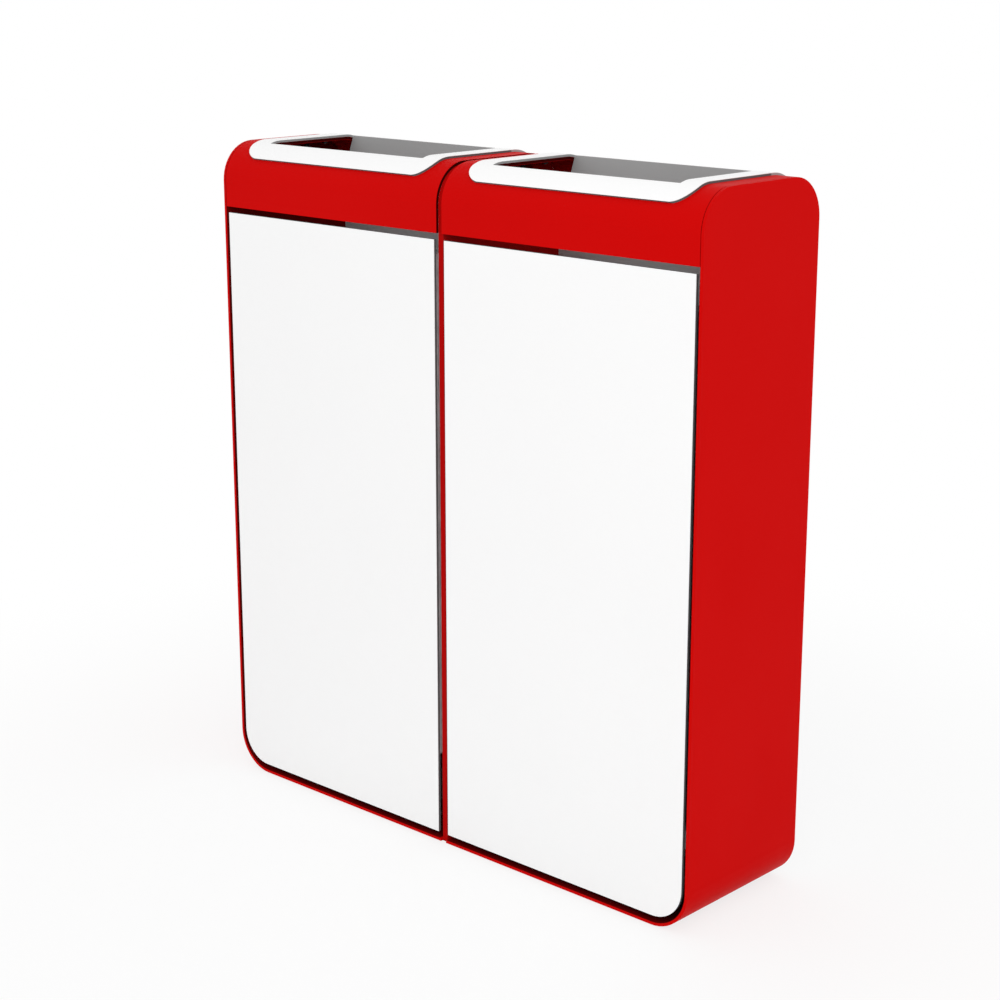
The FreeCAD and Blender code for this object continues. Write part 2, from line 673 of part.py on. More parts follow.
def bail():
    """Round wire handle that lies forward on the liner's rim."""
    radius, y_bar = bail_corner, liner_y - bail_reach
    left, right = bay_x - bail_x, bay_x + bail_x
    pivots = [V(x, liner_y, bail_z) for x in (left, right)]
    turn_y = y_bar + radius
    edges = [line(pivots[0], V(left, turn_y, bail_z)),
             bend(V(left + radius, turn_y, bail_z), radius, 180, 90, X_AXIS, Y_AXIS),
             line(V(left + radius, y_bar, bail_z), V(right - radius, y_bar, bail_z)),
             bend(V(right - radius, turn_y, bail_z), radius, 270, 90, X_AXIS, Y_AXIS),
             line(V(right, turn_y, bail_z), pivots[1])]
    section = Part.Wire(Part.makeCircle(bail_radius, pivots[0], Y_AXIS))
    body = Part.Wire(edges).makePipeShell([section], True, False)
    ends = []
    for pivot, side in zip(pivots, (-1, 1)):
        ends.append(Part.makeSphere(bail_radius, pivot))
        ends.append(rod(pivot, X_AXIS * side, bail_radius, bail_end))
    return body.fuse(ends).removeSplitter()


def liner_guide():
    """Low U-shaped angle round the liner's foot, open towards the door."""
    hx, hy = liner_bottom[0] / 2 + guide_play, liner_bottom[1] / 2 + guide_play
    y0, far = front + guide_front, hy + liner_y
    z0, z1 = floor_top, floor_top + guide_height
    outer, foot = hx + guide_thick, hx + guide_thick + guide_foot
    wall = box(bay_x - outer, bay_x + outer, y0, far + guide_thick, z0, z1)
    rail = box(bay_x - foot, bay_x + foot, y0, far + guide_thick + guide_foot, z0, z0 + guide_thick)
    space = box(bay_x - hx, bay_x + hx, y0 - past, far, z0 - past, z1 + past)
    return drilled(wall.fuse(rail).cut(space).removeSplitter(), guide_screws, m35)


export_pair("shell", shell())
export("partition", partition())
export("back_panel", back_panel())
export_pair("hood", hood())
export_pair("collar", collar())
export_pair("hood_outer_angle", hood_angle(end_in, -1))
export_pair("hood_inner_angle", hood_angle(part_x, 1))
export_pair("floor_angle", floor_angle())
export_pair("back_angle", back_angle())
export_pair("rear_strip", rear_strip())
export_pair("hinge_fixed_leaf", hinge_fixed_leaf())
export_pair("hinge_pin", hinge_pin())
export_pair("latch_body", latch_body())
export_pair("latch_spring", latch_spring())
export_pair("bumper", bumper())
export_pair("liner_guide", liner_guide())
export_pair("liner", liner())
export_pair("bail", bail())
export_pair("door", door())
export_pair("hinge_door_leaf", hinge_door_leaf())
export_pair("strike_plate", strike_plate())
export_pair("latch_plunger", latch_plunger())
export_pair("latch_magnet", latch_magnet())
strike_pins = [rod(point, -Y_AXIS, strike_rivet_radius, strike_rivet_length)
               for point in strike_rivets]
export_mirrored_groups("collar_nuts", [collar_nut(x, along) for x, along in studs])
export_mirrored_groups("door_screws", screws(door_screws, m35) + strike_pins)
export_shared_group("hinge_screws", screws(hinge_screws, m35))
export_shared_group("frame_screws", screws(frame_screws, m5))
export_shared_group("guide_screws", screws(guide_screws, m35))
export_shared_group("back_panel_rivets", [rivet(point) for point in rivets])
export_shared_group("glides", [glide(x, y) for x, y in glides])
export_group("partition_screws", screws(partition_screws, back_screw))
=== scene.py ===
# %% [markdown]
# A double recycling bin, dressed for its portrait. The cabinet is bent steel sheet: red on the
# casing, white on the doors and the collars round the two openings. The construction comes in
# ready made and at its real size, so this lesson is about small hardware, finishes, light and the
# camera. Every length is in metres, and +Z is up.

# %% Load the construction
import math

import bmesh
import bpy
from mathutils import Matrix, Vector


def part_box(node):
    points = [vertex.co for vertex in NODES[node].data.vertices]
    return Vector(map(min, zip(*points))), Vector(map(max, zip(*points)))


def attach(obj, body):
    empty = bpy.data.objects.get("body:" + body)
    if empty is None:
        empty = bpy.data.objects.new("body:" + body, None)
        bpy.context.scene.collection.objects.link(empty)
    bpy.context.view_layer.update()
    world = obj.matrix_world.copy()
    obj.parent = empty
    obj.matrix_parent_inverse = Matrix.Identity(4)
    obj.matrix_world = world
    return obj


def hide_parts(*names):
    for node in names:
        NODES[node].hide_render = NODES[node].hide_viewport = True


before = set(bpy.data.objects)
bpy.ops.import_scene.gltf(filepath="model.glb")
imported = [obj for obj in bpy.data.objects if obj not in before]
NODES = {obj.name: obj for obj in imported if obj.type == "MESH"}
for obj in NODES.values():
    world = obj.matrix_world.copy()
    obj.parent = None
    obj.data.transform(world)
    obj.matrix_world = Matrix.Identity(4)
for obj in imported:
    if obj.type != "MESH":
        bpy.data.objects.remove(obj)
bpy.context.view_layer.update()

MM = 0.001
print("pieces in the construction:", len(NODES))

# %% [markdown]
# The photograph was taken from the front right and a little above, with a long lens. A camera
# fitted to the cabinet's corners gives the place, the turn and the tilt below. The lens belongs to
# a frame that is 36 mm wide.

# %% Camera
FRAME_WIDTH, LENS = 36.0, 75.02                # millimetres
TILT_DOWN, TURN_RIGHT = 14.998, 42.902         # degrees
camera_data = bpy.data.cameras.new("portrait")
camera_data.sensor_width, camera_data.lens = FRAME_WIDTH, LENS
camera_data.clip_end = 60.0
camera = bpy.data.objects.new("portrait", camera_data)
camera.location = (1.7666, -1.9011, 1.1376)
camera.rotation_euler = (math.radians(90 - TILT_DOWN), 0, math.radians(TURN_RIGHT))
bpy.context.collection.objects.link(camera)
bpy.context.scene.camera = camera
print("camera distance:", round(camera.location.length, 2), "m")

# %% [markdown]
# Shader maths reads best as plain sums. The class below wraps one output socket, so that
# `1 - mask * 0.3` adds the Math nodes by itself. Plain numbers never need nodes: Python works
# them out first.

# %% A socket that does sums
class Link:
    """One output socket of a node. Python's operators on it add Math nodes."""

    def __init__(self, board, socket):
        self.board, self.socket = board, socket

    def maths(self, operation, *values):
        inputs = dict(enumerate(values))
        return self.board.node("ShaderNodeMath", {"operation": operation}, inputs)

    def __add__(self, other):
        return self.maths("ADD", self, other)

    def __sub__(self, other):
        return self.maths("SUBTRACT", self, other)

    def __rsub__(self, other):
        return self.maths("SUBTRACT", other, self)

    def __mul__(self, other):
        return self.maths("MULTIPLY", self, other)

    def __pow__(self, other):
        return self.maths("POWER", self, other)

    def __abs__(self):
        return self.maths("ABSOLUTE", self)

    __radd__ = __add__

    def at_least(self, other):
        return self.maths("MAXIMUM", self, other)

    def other_output(self, name):
        return Link(self.board, self.socket.node.outputs[name])


# %% [markdown]
# A board is a node tree with one way to add a node: its type, then its own settings, then its
# sockets. A finish is a board that belongs to a material. Its place is the object's own
# coordinates, so a pattern stays put on a door when the door opens.

# %% Boards and finishes
class Board:
    def __init__(self, tree):
        self.tree = tree

    def node(self, kind, settings=None, inputs=None, out=0):
        made = self.tree.nodes.new(kind)
        for key, value in (settings or {}).items():
            setattr(made, key, value)
        for key, value in (inputs or {}).items():
            self.fill(made.inputs[key], value)
        return Link(self, made.outputs[out]) if made.outputs else made

    def fill(self, socket, value):
        if isinstance(value, Link):
            self.tree.links.new(value.socket, socket)
        else:
            socket.default_value = value


class Finish(Board):
    def __init__(self, name):
        self.material = bpy.data.materials.new(name)
        self.material.use_nodes = True
        super().__init__(self.material.node_tree)
        self.shader = self.tree.nodes["Principled BSDF"]
        self.place = self.node("ShaderNodeTexCoord", out="Object")

    def axes(self):
        """The object's own X, Y and Z."""
        x = self.node("ShaderNodeSeparateXYZ", {}, {0: self.place}, "X")
        return x, x.other_output("Y"), x.other_output("Z")

    def noise(self, per_metre, detail=2.0, stretch=(1, 1, 1)):
        """Noise from 0 to 1 whose blobs are about 1 / per_metre across."""
        place = self.node("ShaderNodeMapping", {}, {"Vector": self.place, "Scale": stretch})
        sockets = {"Vector": place, "Scale": per_metre, "Detail": detail}
        return self.node("ShaderNodeTexNoise", {}, sockets)

    def window(self, value, low, high):
        """0 below low, 1 above high and smooth between."""
        sockets = {"Value": value, "From Min": low, "From Max": high}
        return self.node("ShaderNodeMapRange", {"interpolation_type": "SMOOTHSTEP"}, sockets)

    def mixed(self, factor, a, b):
        """Colour a, turning to colour b as factor goes from 0 to 1."""
        colours = [c if isinstance(c, Link) else (*c, 1) for c in (a, b)]
        sockets = {0: factor, 6: colours[0], 7: colours[1]}
        return self.node("ShaderNodeMix", {"data_type": "RGBA"}, sockets, 2)

    def bumps(self, *layers):
        """Bump nodes in a row. Each layer is a height and its depth in metres."""
        normal = None
        for height, depth in layers:
            sockets = {"Height": height, "Distance": depth, "Strength": 1.0}
            if normal:
                sockets["Normal"] = normal
            normal = self.node("ShaderNodeBump", {}, sockets)
        return normal

    def surface(self, **sockets):
        for name, value in sockets.items():
            self.fill(self.shader.inputs[name.replace("_", " ")], value)
        return self.material


def darker(colour, share):
    return tuple(part * share for part in colour)


# %% [markdown]
# The two coats need to know where on the sheet they are, because the inside differs from the
# outside. Both kinds of bent sheet follow a simple line: the hood wraps round a bar that runs
# along its two bends, and the shell wraps round the axis of its foot. How far a point is from
# that line tells one side of the sheet from the other. The sheet's thickness and the bends'
# outside radii are typed in below, and the other lengths are measured from the construction.

# %% How far out of a bend a point lies
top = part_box("hood_right")[1].z
shell_low, shell_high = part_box("shell_right")
front, rear = shell_low.y, shell_high.y
end, floor_under = shell_high.x, shell_low.z
HOOD_BEND, FOOT_BEND = 0.050, 0.054
SHEET = 0.004
collar_middle = sum(corner.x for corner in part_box("collar_right")) / 2


def out_of_hood(finish):
    _, y, z = finish.axes()
    along = (abs(y) - (rear - HOOD_BEND)).at_least(0)
    up = (z - (top - HOOD_BEND)).at_least(0)
    return (along * along + up * up) ** 0.5


def out_of_foot(finish):
    x, _, z = finish.axes()
    across = (abs(x) - (end - FOOT_BEND)).at_least(0)
    down = ((floor_under + FOOT_BEND) - z).at_least(0)
    return (across * across + down * down) ** 0.5


print("top", round(top, 4), "front", round(front, 4), "end", round(end, 4))

# %% [markdown]
# The casing is powder coated. Powder is plastic that melts onto the sheet. It is one even colour,
# but it flows into a soft orange peel a few millimetres wide, with a finer grain on top. Cleaning
# leaves faint cloudy patches in its gloss. Inside the cabinet the sheet is a dark red, duller and
# grainier, and its darkness is painted shade. Each bent piece has its own test for inside. The
# partition's front face is a darker red, which is painted shade, and it stops short of both rims.
# The inside red is lighter on the faces seen through the openings, which are the hoods' and the
# partition's, and darkest on the hoods' cut edges: painted light and painted shade.

# %% Red coat
# The inside reds are painted shade: dark red where the cabinet is shaded inside.
RED, SHELL_INSIDE_SHADE = (0.604, 0.0018, 0.0015), (0.15, 0.0012, 0.001)
# On this line: the hoods' cut-edge red is painted shade, and the lighter inside red is painted
# light on faces seen through the openings.
CUT_EDGE_SHADE, LIT_INSIDE_RED = (0.05, 0.0008, 0.0007), (0.45, 0.006, 0.006)
# Where each mask turns from 0 to 1
SHELL_OUTSIDE = (FOOT_BEND - SHEET + 0.0001, FOOT_BEND - SHEET + 0.0003)
HOOD_OUTSIDE = (HOOD_BEND - 0.0006, HOOD_BEND - 0.0003)
# The hood's cut edges get the darkest red here: painted shade.
HOOD_CUT_SHADE = (HOOD_BEND - SHEET + 0.0001, HOOD_BEND - SHEET + 0.0004)
PARTITION_FACE = (0.0032, 0.0034)
BELOW_BRACKETS = (0.2, 0.3)


def red_coat(name, inside_of, red=RED, inside_shade=SHELL_INSIDE_SHADE, cut_shade_of=None):
    coat = Finish(name)
    inside = inside_of(coat)
    rubbed = coat.window(coat.noise(6, 4.0), 0.35, 0.75)
    peel, grain = coat.noise(260, 3.0), coat.noise(2200, 1.0)
    outside_colour = coat.mixed(rubbed, red, darker(red, 0.985))
    # The inside colour is painted shade, varied at random.
    inside_shade_colour = coat.mixed(coat.noise(90, 4.0), darker(inside_shade, 0.8), darker(inside_shade, 1.2))
    # Painted shade: the darkest red on the hood's cut edges.
    if cut_shade_of:
        inside_shade_colour = coat.mixed(cut_shade_of(coat), inside_shade_colour, CUT_EDGE_SHADE)
    return coat.surface(
        Base_Color=coat.mixed(inside, outside_colour, inside_shade_colour),
        Roughness=0.44 + rubbed * 0.07 + grain * 0.06 + inside * 0.2,
        Specular_IOR_Level=0.02,
        Normal=coat.bumps((peel, 0.00012), (grain, 0.00002)))


red_shell = red_coat(
    "red_coat_shell",
    inside_of=lambda coat: 1 - coat.window(out_of_foot(coat), *SHELL_OUTSIDE))
# The hood's inside takes the lighter red of painted light, and its cut edges the darkest painted
# shade.
red_hood = red_coat(
    "red_coat_hood", inside_shade=LIT_INSIDE_RED,
    inside_of=lambda coat: 1 - coat.window(out_of_hood(coat), *HOOD_OUTSIDE),
    cut_shade_of=lambda coat: coat.window(out_of_hood(coat), *HOOD_CUT_SHADE))
# The partition's front face is a darker red: painted shade. Its sides take the lighter inside red.
red_partition = red_coat(
    "red_coat_partition", red=darker(RED, 0.7), inside_shade=LIT_INSIDE_RED,
    inside_of=lambda coat: coat.window(abs(coat.axes()[0]), *PARTITION_FACE))
# The brackets take the dark inside red all over: painted shade.
red_bracket = red_coat(
    "red_shade_bracket", inside_of=lambda coat: coat.window(coat.axes()[2], *BELOW_BRACKETS))
print("red coats:", red_shell.name, red_hood.name, red_partition.name, red_bracket.name)

# %% [markdown]
# Doors and collars are white on their show side only. Their reverse is a soft grey of painted
# shade, and the cut edge all round is a darker grey of painted shade. That grey line is what draws
# the doors and the collars so crisply. On a door, depth alone tells face, edge and reverse apart.
# On a collar, the distance out of the hood's bend does. Round its opening the soft grey of painted
# shade lies over the cut all round, and on the rear lip that turns down too.

# %% White sheet
# The reverse grey and the darker edge grey are painted shade on white sheet.
WHITE, SHADE_GREY, EDGE_SHADE_GREY = (0.95, 0.95, 0.95), (0.36, 0.36, 0.36), (0.105, 0.105, 0.107)
# The back panel's grey is painted shade.
BACK_SHADE_GREY = (0.6, 0.6, 0.6)
# Where each mask turns from 0 to 1
DOOR_EDGE = (front + 0.00035, front + 0.00045)
DOOR_REVERSE = (front + SHEET - 0.0001, front + SHEET - 0.00002)
COLLAR_FACE = (HOOD_BEND + 0.0026, HOOD_BEND + 0.0028)
LIP_START, LIP_END = (0.052, 0.056), (0.080, 0.084)
OPENING_SIDE, OPENING_LOW = (0.145, 0.150), (0.866, 0.870)
UNDER_FLOOR = (-0.2, -0.1)


def white_sheet(name, masks_of, reverse=SHADE_GREY):
    coat = Finish(name)
    show, edge = masks_of(coat)
    rubbed = coat.window(coat.noise(5, 4.0), 0.35, 0.8)
    peel, grain = coat.noise(240, 3.0), coat.noise(2200, 1.0)
    # Painted shade: soft grey on the reverse, darker grey on the cut edges.
    grey = coat.mixed(edge, coat.mixed(rubbed, reverse, darker(reverse, 0.93)), EDGE_SHADE_GREY)
    white = coat.mixed(rubbed, WHITE, darker(WHITE, 0.992))
    return coat.surface(
        Base_Color=coat.mixed(show, grey, white),
        Roughness=0.4 + rubbed * 0.08 + grain * 0.06 + edge * 0.25,
        Specular_IOR_Level=0.25,
        Normal=coat.bumps((peel, 0.0001), (grain, 0.00002)))


def door_masks(coat):
    depth = coat.axes()[1]
    show = 1 - coat.window(depth, *DOOR_EDGE)
    reverse = coat.window(depth, *DOOR_REVERSE)
    return show, (1 - show) * (1 - reverse)


def collar_masks(coat):
    x, y, z = coat.axes()
    show = coat.window(out_of_hood(coat), *COLLAR_FACE)
    # The rear lip and the cut round the opening take the soft grey of painted shade.
    lip = coat.window(y, *LIP_START) * (1 - coat.window(y, *LIP_END))
    off_middle = abs(abs(x) - collar_middle)
    opening_shade = (1 - coat.window(off_middle, *OPENING_SIDE)) * coat.window(z, *OPENING_LOW)
    return show, (1 - show) * (1 - lip.at_least(opening_shade))


def all_grey(coat):
    nowhere = 1 - coat.window(coat.axes()[2], *UNDER_FLOOR)
    return nowhere, nowhere


white_door = white_sheet("white_sheet_door", door_masks)
white_collar = white_sheet("white_sheet_collar", collar_masks)
# The back panel is grey all over: painted shade.
grey_back = white_sheet("grey_sheet_back", all_grey, BACK_SHADE_GREY)
print("white sheets:", white_door.name, white_collar.name, grey_back.name)

# %% [markdown]
# The hinges, brackets and wire handles are zinc plated. Fresh zinc is a bright grey metal with
# the grain of its rolling, and it clouds over in patches. The grain is noise squeezed hard along
# one axis: along Z for the rolled leaves and angles, and along X for the drawn wire. The hinge
# leaves have aged to a dull white film, so they scatter light like paint. The screws that hold the
# casing together are blackened, which keeps them from glinting inside the openings.

# %% Metals
def metal(name, colour, roughness, stretch, metallic=1.0):
    plate = Finish(name)
    drawn = plate.noise(300, 3.0, stretch)
    clouded = plate.window(plate.noise(35, 4.0), 0.4, 0.7)
    return plate.surface(
        Base_Color=plate.mixed(clouded, colour, darker(colour, 0.8)),
        Metallic=metallic,
        Roughness=roughness + clouded * 0.12 + drawn * 0.1,
        Normal=plate.bumps((drawn, 0.00002)))


rolled_zinc = metal("zinc_plated_sheet", (0.62, 0.63, 0.64), 0.3, (1, 1, 0.04))
hinge_zinc = metal("zinc_plated_hinge", (0.7, 0.7, 0.71), 0.5, (1, 1, 0.04), 0.25)
screw_zinc = metal("zinc_plated_screw", (0.66, 0.67, 0.68), 0.24, (1, 1, 1))
screw_black = metal("blackened_screw", (0.03, 0.03, 0.032), 0.4, (1, 1, 1), 0.5)
wire_zinc = metal("zinc_plated_wire", (0.68, 0.69, 0.7), 0.22, (0.03, 1, 1))
spring_steel = metal("spring_steel", (0.42, 0.42, 0.43), 0.28, (1, 0.2, 1))
rivet_metal = metal("plain_aluminium", (0.74, 0.74, 0.75), 0.34, (1, 1, 1))
magnet_metal = metal("nickel_plate", (0.66, 0.64, 0.6), 0.16, (1, 1, 1))
METALS = (rolled_zinc, hinge_zinc, screw_zinc, screw_black, wire_zinc, spring_steel, rivet_metal,
          magnet_metal)
print("metals:", ", ".join(finish.name for finish in METALS))

# %% [markdown]
# The liners are moulded in light grey plastic with a fine spark texture. Flow lines run up the
# wall from the gate in the foot. The latch housings come from the same plastic with a smoother
# skin. The bumpers and the glides under the floor are black rubber.

# %% Plastic and rubber
def moulded(name, colour, roughness, grain_depth):
    skin = Finish(name)
    spark = skin.noise(1500, 2.0)
    flow = skin.window(skin.noise(9, 3.0, (1, 1, 0.3)), 0.35, 0.7)
    return skin.surface(
        Base_Color=skin.mixed(flow, colour, darker(colour, 0.9)),
        Roughness=roughness + spark * 0.12,
        Specular_IOR_Level=0.35,
        Normal=skin.bumps((spark, grain_depth)))


liner_plastic = moulded("liner_plastic", (0.55, 0.56, 0.57), 0.5, 0.00008)
latch_plastic = moulded("latch_plastic", (0.5, 0.51, 0.52), 0.38, 0.00003)
rubber = moulded("black_rubber", (0.02, 0.02, 0.021), 0.62, 0.00005)
print("plastics and rubber:", liner_plastic.name, latch_plastic.name, rubber.name)

# %% [markdown]
# The construction's own pieces keep their shape and take their finish. No sheet edge is knife
# sharp: it is deburred, and the coat rounds it further. A narrow bevel modifier does the same
# and leaves the mesh under it alone. The list goes by how a piece's name starts, longer first.

# %% Finish the construction
FINISHES = [("shell", red_shell, 0.25), ("partition", red_partition, 0.3),
            ("hood_outer", red_bracket, 0.2), ("hood_inner", red_bracket, 0.2),
            ("hood", red_hood, 0.25), ("back_panel", grey_back, 0.2),
            ("collar_nuts", screw_black, 0.2), ("collar", white_collar, 0.5),
            ("door_screws", screw_zinc, 0), ("door", white_door, 0.4),
            ("floor_angle", rolled_zinc, 0.2), ("back_angle", rolled_zinc, 0.2),
            ("rear_strip", rolled_zinc, 0.2), ("hinge_pin", rolled_zinc, 0.1),
            ("hinge_screws", screw_zinc, 0), ("hinge", hinge_zinc, 0.1),
            ("latch_body", latch_plastic, 0.6), ("latch_plunger", latch_plastic, 0.3),
            ("latch_magnet", magnet_metal, 0.2), ("latch_spring", spring_steel, 0),
            ("bumper", rubber, 0.4), ("liner_guide", rolled_zinc, 0.2),
            ("liner", liner_plastic, 0.5), ("bail", wire_zinc, 0), ("strike", rolled_zinc, 0.2),
            ("frame_screws", screw_black, 0), ("guide_screws", screw_zinc, 0),
            ("glides", rubber, 0.4)]
SHARP_EDGE = math.radians(40)


def soften_edges(piece, width):
    """Rounds the sharp edges by so many millimetres and keeps the flats flat."""
    bevel = piece.modifiers.new("deburred_edges", "BEVEL")
    bevel.width, bevel.segments = width * MM, 2
    bevel.limit_method, bevel.angle_limit = "ANGLE", SHARP_EDGE
    bevel.harden_normals = True


for name, piece in NODES.items():
    finish, edge = next((f, e) for start, f, e in FINISHES if name.startswith(start))
    piece.data.materials.clear()
    piece.data.materials.append(finish)
    if edge:
        soften_edges(piece, edge)
print("finished", len(NODES), "pieces with", len({f.name for _, f, _ in FINISHES}), "finishes")

# %% [markdown]
# A screw in the construction is two plain rods, which is enough to hold things but not to look
# at. The real ones have a button head with a hexagon socket. Each can be turned on a lathe in
# code: rings of points down a profile, where a ring is round or hexagonal. The plain rods say
# where each screw is, which way it points and how big it is, so nothing is typed in twice.

# %% Find each fastener
def loose_parts(mesh):
    """The points of each separate part of a mesh."""
    work = bmesh.new()
    work.from_mesh(mesh)
    bmesh.ops.remove_doubles(work, verts=work.verts, dist=1e-6)
    waiting, parts = set(work.verts), []
    while waiting:
        edge_of_part = [waiting.pop()]
        part = []
        while edge_of_part:
            point = edge_of_part.pop()
            part.append(point.co.copy())
            near = {e.other_vert(point) for e in point.link_edges} & waiting
            waiting -= near
            edge_of_part += near
        parts.append(part)
    work.free()
    return parts


def measure_fastener(points):
    """Head end, direction, head radius, head height, shank radius and length of a plain one."""
    low = Vector([min(p[i] for p in points) for i in range(3)])
    high = Vector([max(p[i] for p in points) for i in range(3)])
    size, middle = high - low, (low + high) / 2
    axis = min(range(3), key=lambda i: abs(size[i - 1] - size[i - 2]))
    turn = [(p[axis], math.hypot(p[axis - 1] - middle[axis - 1], p[axis - 2] - middle[axis - 2]))
            for p in points]
    head_radius = max(radius for _, radius in turn)
    head = [along for along, radius in turn if radius > 0.97 * head_radius]
    from_low = min(head) - low[axis] < high[axis] - max(head)
    start, way = middle.copy(), Vector((0, 0, 0))
    start[axis] = low[axis] if from_low else high[axis]
    way[axis] = 1 if from_low else -1
    inner = [radius for along, radius in turn if radius < 0.8 * head_radius and radius > 0.2 * MM]
    return start, way, head_radius, max(head) - min(head), max(inner, default=0), size[axis]


# %% [markdown]
# A rivet is the same job with another profile. The head outside is a low dome with the dimple
# of its pulled pin, and the other end is a crushed button. The two pins that hold each strike
# plate are plain studs with a chamfer, peened flush.

# %% Turn a fastener
STEPS = 24


def ring_radius(radius, shape, angle):
    """Round rings are plain. A hexagon's radius is to its flats."""
    if shape == "round":
        return radius
    sixth = math.pi / 3
    return radius / math.cos((angle % sixth) - sixth / 2)


def turned(mesh, start, way, profile):
    """Adds a turned part to a bmesh. The profile lists radius, depth and shape from the top."""
    across = way.orthogonal().normalized()
    beside = way.cross(across)
    rings = []
    for radius, depth, shape in profile:
        ring = []
        for step in range(STEPS):
            angle = 2 * math.pi * step / STEPS
            r = ring_radius(radius, shape, angle)
            ring.append(mesh.verts.new(start + way * depth + across * (r * math.cos(angle))
                                       + beside * (r * math.sin(angle))))
        rings.append(ring)
    for upper, lower in zip(rings, rings[1:]):
        for i in range(STEPS):
            j = (i + 1) % STEPS
            mesh.faces.new((upper[i], upper[j], lower[j], lower[i]))
    mesh.faces.new(rings[0][::-1])
    mesh.faces.new(rings[-1])


def screw_profile(head, height, shank, length):
    return [(head * 0.36, height * 0.62, "hexagon"), (head * 0.36, height * 0.08, "hexagon"),
            (head * 0.47, height * 0.0, "round"), (head * 0.62, height * 0.03, "round"),
            (head * 0.84, height * 0.2, "round"), (head * 0.96, height * 0.48, "round"),
            (head, height * 0.78, "round"), (head * 0.96, height, "round"),
            (shank, height, "round"), (shank, length - shank * 0.3, "round"),
            (shank * 0.75, length, "round")]


def rivet_profile(head, height, shank, length):
    button = length - 1.2 * MM
    return [(0.7 * MM, 0.5 * MM, "round"), (0.9 * MM, 0.1 * MM, "round"),
            (1.2 * MM, 0, "round"), (2.2 * MM, 0.06 * MM, "round"),
            (3.5 * MM, height * 0.4, "round"), (head, height * 0.85, "round"),
            (head * 0.98, height, "round"), (shank, height, "round"), (shank, button, "round"),
            (2.7 * MM, button, "round"), (3.2 * MM, button + 0.5 * MM, "round"),
            (2.6 * MM, button + 1.0 * MM, "round"), (1.4 * MM, length, "round")]


def pin_profile(radius, length):
    return [(radius * 0.7, 0, "round"), (radius, 0.3 * MM, "round"),
            (radius, length - 0.3 * MM, "round"), (radius * 0.8, length, "round")]


# %% [markdown]
# One pass dresses every group of fasteners. The new piece stands for the plain one, rides on the
# same body and takes the finish it is given. Edges sharper than 35 degrees stay crisp, and the
# rest shades smoothly.

# %% Dress the fasteners
CRISP = math.radians(35)


def new_piece(name, mesh, finish, body, slot, *stands_for):
    made = bpy.data.objects.new(name, mesh)
    made.data.materials.append(finish)
    bpy.context.collection.objects.link(made)
    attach(made, body)
    if stands_for:
        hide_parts(*stands_for)
    return made


def dress_fasteners(node, name, finish, body, slot, profile_of):
    work = bmesh.new()
    found = [measure_fastener(points) for points in loose_parts(NODES[node].data)]
    for start, way, head, height, shank, length in found:
        plain = height > 0.9 * length
        profile = pin_profile(head, length) if plain else profile_of(head, height, shank, length)
        turned(work, start, way, profile)
    bmesh.ops.recalc_face_normals(work, faces=work.faces)
    mesh = bpy.data.meshes.new(name)
    work.to_mesh(mesh)
    work.free()
    mesh.shade_smooth()
    mesh.set_sharp_from_angle(angle=CRISP)
    new_piece(name, mesh, finish, body, slot, node)
    print(name, "holds", len(found))


dress_fasteners("frame_screws", "casing_screws", screw_black, "casing", "black_screw",
                screw_profile)
for node, name in (("hinge_screws", "hinge_leaf_screws"), ("guide_screws", "guide_foot_screws"),
                   ("partition_screws", "back_screws")):
    dress_fasteners(node, name, screw_zinc, "casing", "zinc_steel", screw_profile)
for side in ("right", "left"):
    dress_fasteners("door_screws_" + side, "door_leaf_screws_" + side, screw_zinc,
                    "door_body_" + side, "zinc_steel", screw_profile)
dress_fasteners("back_panel_rivets", "back_rivets", rivet_metal, "casing", "bright_rivet",
                rivet_profile)

# %% [markdown]
# Each latch has a coil spring behind its plunger. The construction holds its room with a plain
# sleeve, and the real form is a wire wound round an axis. A curve draws it best: points on a
# helix, closer together at both ends where the coils are closed, and a round bevel for the wire.

# %% Wind the latch springs
COILS, WIRE = 9.0, 0.3 * MM         # turns, and the wire's radius
STEPS_PER_COIL = 20
CLOSED = 0.12                       # share of the turns that lie closed at each end


def latch_spring(side):
    node = "latch_spring_" + side
    low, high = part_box(node)
    middle = (low + high) / 2
    radius = (high.x - low.x) / 2 - WIRE
    run = high.y - low.y - 2 * WIRE
    curve = bpy.data.curves.new("coil_spring_" + side, "CURVE")
    curve.dimensions, curve.bevel_depth, curve.bevel_resolution = "3D", WIRE, 3
    curve.use_fill_caps = True
    points = []
    count = int(COILS * STEPS_PER_COIL)
    for step in range(count + 1):
        share = step / count
        pitch = min(max((share - CLOSED) / (1 - 2 * CLOSED), 0), 1)
        ends = min(share / CLOSED, 1) + max((share - 1 + CLOSED) / CLOSED, 0)
        closed = 2 * WIRE * ends
        angle = 2 * math.pi * COILS * share
        points.append(middle + Vector((radius * math.cos(angle),
                                       closed + pitch * (run - 4 * WIRE) - run / 2,
                                       radius * math.sin(angle))))
    spline = curve.splines.new("POLY")
    spline.points.add(count)
    for point, place in zip(spline.points, points):
        point.co = (*place, 1)
    new_piece("coil_spring_" + side, curve, spring_steel, "casing", "zinc_steel", node)
    print("spring", side, "is", round(run / MM, 1), "mm long")


for side in ("right", "left"):
    latch_spring(side)

# %% [markdown]
# The picture is almost shadowless, so most of the light is an even dome. One big soft lamp stands
# behind the camera, where it lights the front and the end panel alike. The backdrop is white for
# the camera, and for mirrors and glass. The dome that lights the cabinet is a little lower, so
# that white paint stays just under the backdrop.

# %% Light
DOME, BACKDROP = 0.86, 1.0
LAMP_SIZE, LAMP_POWER = 2.6, 37     # metres and watts
LAMP_AIM = Vector((0, 0, 0.45))


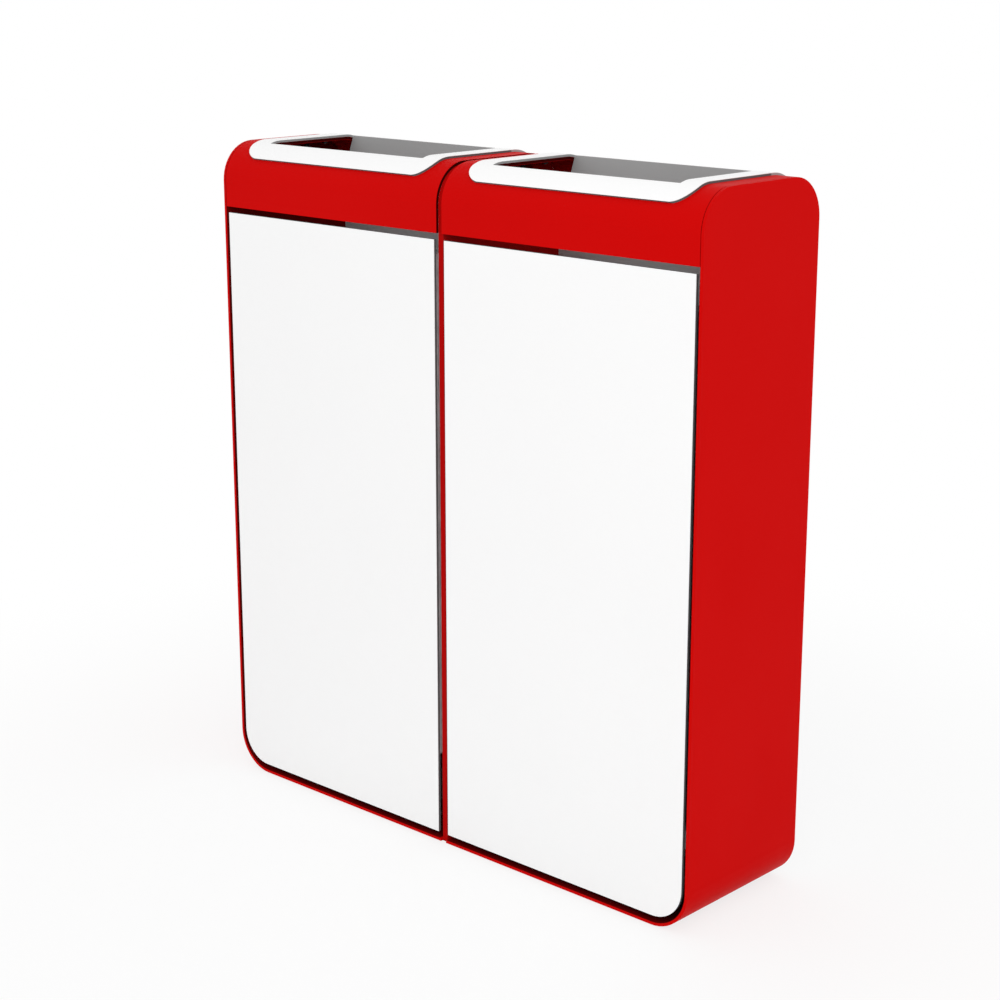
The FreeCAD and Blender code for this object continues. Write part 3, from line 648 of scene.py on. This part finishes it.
def seen_directly(board):
    """1 for what the camera, a mirror or glass sees, and 0 for light on its way to a surface."""
    camera_ray = board.node("ShaderNodeLightPath", out="Is Camera Ray")
    glossy = camera_ray.other_output("Is Glossy Ray")
    through = camera_ray.other_output("Is Transmission Ray")
    return camera_ray.at_least(glossy).at_least(through)


world = bpy.data.worlds.new("white_dome")
bpy.context.scene.world = world
world.use_nodes = True
world.node_tree.nodes.clear()
sky = Board(world.node_tree)
dome, backdrop = [sky.node("ShaderNodeBackground", {}, {"Color": (1, 1, 1, 1), "Strength": level})
                  for level in (DOME, BACKDROP)]
shown = sky.node("ShaderNodeMixShader", {}, {0: seen_directly(sky), 1: dome, 2: backdrop})
sky.node("ShaderNodeOutputWorld", {}, {"Surface": shown})

lamp_data = bpy.data.lights.new("softbox", "AREA")
lamp_data.shape, lamp_data.size, lamp_data.energy = "SQUARE", LAMP_SIZE, LAMP_POWER
lamp = bpy.data.objects.new("softbox", lamp_data)
lamp.location = (2.5, -2.6, 2.6)
lamp.rotation_euler = (LAMP_AIM - lamp.location).to_track_quat("-Z", "Y").to_euler()
bpy.context.collection.objects.link(lamp)
print("lamp distance:", round(lamp.location.length, 2), "m")

# %% [markdown]
# The floor is a pale sheet that runs far past the picture. Where it is seen directly, most of it
# glows at the backdrop's white, and the rest is lit as usual. The lit share shrinks to nothing
# with distance. The horizon vanishes that way, and the soft shadow round the foot stays.

# %% Floor
NEAR_GLOW = 0.78                    # share that glows at the cabinet's foot
FADE = (0.5, 1.3)                   # metres from the middle
REACH = 20.0
floor_finish = Finish("pale_floor")
floor_finish.surface(
    Base_Color=floor_finish.mixed(floor_finish.noise(3, 3.0), (0.9, 0.9, 0.9), (0.91, 0.91, 0.91)),
    Roughness=0.8, Specular_IOR_Level=0.1)
glow = floor_finish.node("ShaderNodeEmission", {}, {"Color": (1, 1, 1, 1), "Strength": 1.0})
lit = Link(floor_finish, floor_finish.shader.outputs[0])
distance = floor_finish.node("ShaderNodeVectorMath", {"operation": "LENGTH"},
                             {0: floor_finish.place}, "Value")
far = floor_finish.window(distance, *FADE)
share = seen_directly(floor_finish) * (NEAR_GLOW + far * (1 - NEAR_GLOW))
shared = floor_finish.node("ShaderNodeMixShader", {}, {0: share, 1: lit, 2: glow})
floor_finish.fill(floor_finish.tree.nodes["Material Output"].inputs["Surface"], shared)

floor_mesh = bpy.data.meshes.new("floor")
floor_mesh.from_pydata([(-REACH, -REACH, 0), (REACH, -REACH, 0), (REACH, REACH, 0),
                        (-REACH, REACH, 0)], [], [(0, 1, 2, 3)])
floor_mesh.materials.append(floor_finish.material)
floor = bpy.data.objects.new("floor", floor_mesh)
bpy.context.collection.objects.link(floor)

# %% [markdown]
# Standard view keeps colours as they are written.

# %% Colour view
bpy.context.scene.view_settings.view_transform = "Standard"
